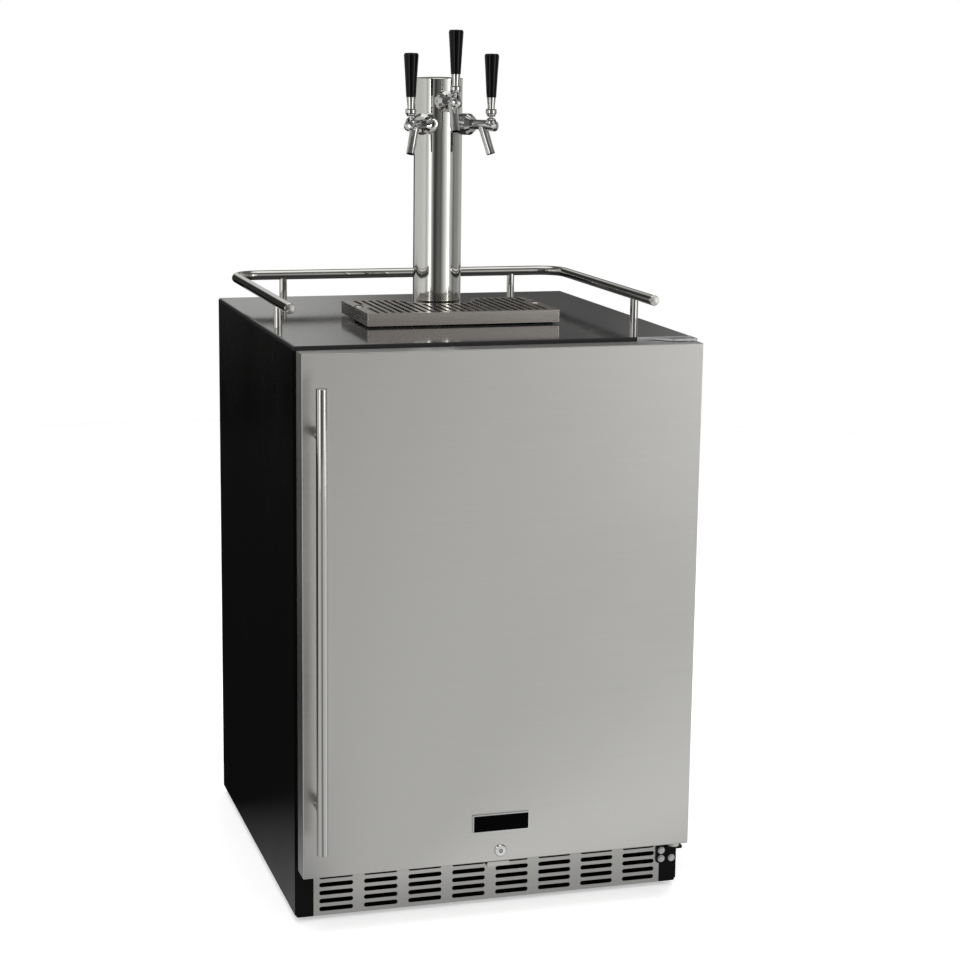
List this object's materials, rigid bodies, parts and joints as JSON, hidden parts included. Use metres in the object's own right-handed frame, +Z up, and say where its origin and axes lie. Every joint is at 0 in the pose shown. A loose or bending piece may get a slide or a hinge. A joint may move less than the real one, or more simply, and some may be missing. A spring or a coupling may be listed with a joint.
{
  "type": "kegerator",
  "caption": "Upright beer fridge with a stainless door and bar handle, a chrome tap tower, a drip tray and a guard rail on its top.",
  "frame": {"origin": "middle of the footprint on the floor", "axes": "+Z up, -Y towards the door's face, +X to the hinge side"},
  "size_m": [0.606, 0.72, 1.3095],
  "materials": {
    "black_steel": "semi-gloss black paint",
    "foam": "sealed insulation, not seen",
    "white_liner": "white gloss",
    "stainless": "brushed stainless",
    "plated_steel": "zinc plated",
    "polished_rail": "polished stainless tube",
    "chrome_plate": "polished chrome",
    "valve_steel": "machined",
    "black_grip": "gloss black",
    "black_plastic": "matt moulded",
    "black_rubber": "matt",
    "nylon": "white nylon",
    "beer_hose": "flexible vinyl hose",
    "lamp_lens": "frosted lens",
    "compressor_paint": "black enamel",
    "condenser_metal": "folded fins and sheet"
  },
  "bodies": {
    "cabinet": {"side_panel_left": "black_steel", "side_panel_right": "black_steel", "top_panel": "black_steel", "rear_panel": "black_steel", "front_frame": "black_steel", "base_frame": "black_steel", "foam_insulation": "foam", "inner_liner": "white_liner", "vent_grille": "stainless", "lock_strike": "stainless", "top_hinge": "plated_steel", "bottom_hinge": "black_steel", "hinge_bushing": "nylon", "hinge_screws": "plated_steel", "rail_tube": "polished_rail", "rail_posts": "polished_rail", "rail_end_caps": "polished_rail", "tower_column": "chrome_plate", "tower_cap": "chrome_plate", "tower_flange": "chrome_plate", "faucet_shanks": "chrome_plate", "coupling_nuts": "chrome_plate", "faucet_body_left": "chrome_plate", "faucet_body_center": "chrome_plate", "faucet_body_right": "chrome_plate", "faucet_spout_left": "chrome_plate", "faucet_spout_center": "chrome_plate", "faucet_spout_right": "chrome_plate", "beer_lines": "beer_hose", "line_clip": "white_liner", "keg_floor_plate": "stainless", "compressor": "compressor_paint", "condenser": "condenser_metal", "evaporator_cover": "white_liner", "control_housing": "white_liner", "interior_lamp": "lamp_lens", "power_inlet": "black_plastic", "rear_feet": "black_rubber"},
    "door": {"door_skin": "stainless", "door_liner": "white_liner", "door_core": "foam", "door_gasket": "black_rubber", "door_handle": "stainless", "nameplate": "stainless", "lock_housing": "chrome_plate"},
    "lock": {"lock_cam": "chrome_plate"},
    "drip_tray": {"drip_pan": "stainless", "tray_pads": "black_rubber"},
    "tray_insert": {"drip_grille": "stainless"},
    "tap_lever_left": {"lever_left": "chrome_plate", "tap_handle_left": "black_grip"},
    "tap_lever_center": {"lever_center": "chrome_plate", "tap_handle_center": "black_grip"},
    "tap_lever_right": {"lever_right": "chrome_plate", "tap_handle_right": "black_grip"},
    "tap_valve_left": {"valve_shaft_left": "valve_steel"},
    "tap_valve_center": {"valve_shaft_center": "valve_steel"},
    "tap_valve_right": {"valve_shaft_right": "valve_steel"},
    "blower_condenser": {"condenser_fan": "black_plastic"},
    "blower_evaporator": {"evaporator_fan": "black_plastic"},
    "thermostat": {"temperature_knob": "white_liner"},
    "leveller_left": {"front_foot_left": "black_rubber"},
    "leveller_right": {"front_foot_right": "black_rubber"}
  },
  "joints": [
    {"name": "door_swing", "type": "hinge", "parent": "cabinet", "child": "door", "pos_m": [0.288, -0.274, 0], "axis": [0, 0, 1], "range_deg": [0, 110]},
    {"name": "lock_turn", "type": "hinge", "parent": "door", "child": "lock", "pos_m": [0, -0.3, 0.1044], "axis": [0, 1, 0], "range_deg": [0, 90]},
    {"name": "tray_lift", "type": "slide", "parent": "cabinet", "child": "drip_tray", "axis": [0, 0, 1], "range_m": [0, 0.05]},
    {"name": "insert_lift", "type": "slide", "parent": "drip_tray", "child": "tray_insert", "axis": [0, 0, 1], "range_m": [0, 0.05]},
    {"name": "tap_left_tilt", "type": "hinge", "parent": "cabinet", "child": "tap_lever_left", "pos_m": [-0.06396, 0.00978, 1.1698], "axis": [0.766, -0.6428, 0], "range_deg": [0, 35]},
    {"name": "valve_left_slide", "type": "slide", "parent": "cabinet", "child": "tap_valve_left", "axis": [0.6428, 0.766, 0], "range_m": [0, 0.0036]},
    {"name": "tap_center_tilt", "type": "hinge", "parent": "cabinet", "child": "tap_lever_center", "pos_m": [0, -0.0135, 1.205], "axis": [1, 0, 0], "range_deg": [0, 35]},
    {"name": "valve_center_slide", "type": "slide", "parent": "cabinet", "child": "tap_valve_center", "axis": [0, 1, 0], "range_m": [0, 0.0036]},
    {"name": "tap_right_tilt", "type": "hinge", "parent": "cabinet", "child": "tap_lever_right", "pos_m": [0.06396, 0.00978, 1.1698], "axis": [0.766, 0.6428, 0], "range_deg": [0, 35]},
    {"name": "valve_right_slide", "type": "slide", "parent": "cabinet", "child": "tap_valve_right", "axis": [-0.6428, 0.766, 0], "range_m": [0, 0.0036]},
    {"name": "condenser_spin", "type": "hinge", "parent": "cabinet", "child": "blower_condenser", "pos_m": [0.134, 0.28, 0.105], "axis": [1, 0, 0], "continuous": true},
    {"name": "evaporator_spin", "type": "hinge", "parent": "cabinet", "child": "blower_evaporator", "pos_m": [0, 0.287, 0.65], "axis": [0, 1, 0], "continuous": true},
    {"name": "thermostat_turn", "type": "hinge", "parent": "cabinet", "child": "thermostat", "pos_m": [0.05, -0.186, 0.78], "axis": [0, 0, 1], "range_deg": [0, 300]},
    {"name": "leveller_left_turn", "type": "hinge", "parent": "cabinet", "child": "leveller_left", "pos_m": [-0.262, -0.212, 0.01], "axis": [0, 0, 1], "continuous": true},
    {"name": "leveller_right_turn", "type": "hinge", "parent": "cabinet", "child": "leveller_right", "pos_m": [0.262, -0.212, 0.01], "axis": [0, 0, 1], "continuous": true}
  ],
  "couplings": [
    {"joint": "valve_left_slide", "follows": "tap_left_tilt", "m_per_rad": 0.0058},
    {"joint": "valve_center_slide", "follows": "tap_center_tilt", "m_per_rad": 0.0058},
    {"joint": "valve_right_slide", "follows": "tap_right_tilt", "m_per_rad": 0.0058}
  ]
}
